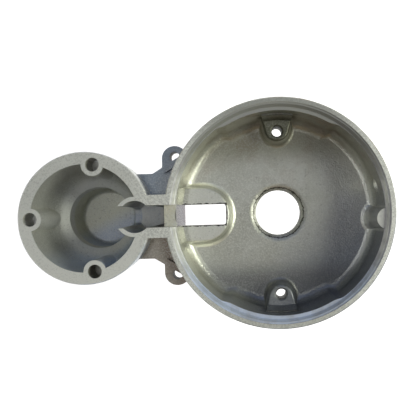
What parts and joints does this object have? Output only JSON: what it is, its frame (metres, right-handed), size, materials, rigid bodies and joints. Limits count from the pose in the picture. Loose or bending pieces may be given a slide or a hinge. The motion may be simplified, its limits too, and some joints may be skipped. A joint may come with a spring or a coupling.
{
  "type": "die_cast_gear_housing",
  "caption": "Die cast aluminium gear housing with a large shallow cup, a small deep cup and a neck channel between them, open on one face for a cover.",
  "frame": {"origin": "On the axis of the large cup and its bore, in the plane of the large cup's back face.", "axes": "+Z out of the open face along the bore, +X from the small cup to the large cup, +Y completes the right-handed set."},
  "size_m": [0.1474, 0.0904, 0.061],
  "materials": {
    "cast_aluminium": "satin"
  },
  "bodies": {
    "root": {"housing": "cast_aluminium"}
  },
  "joints": []
}
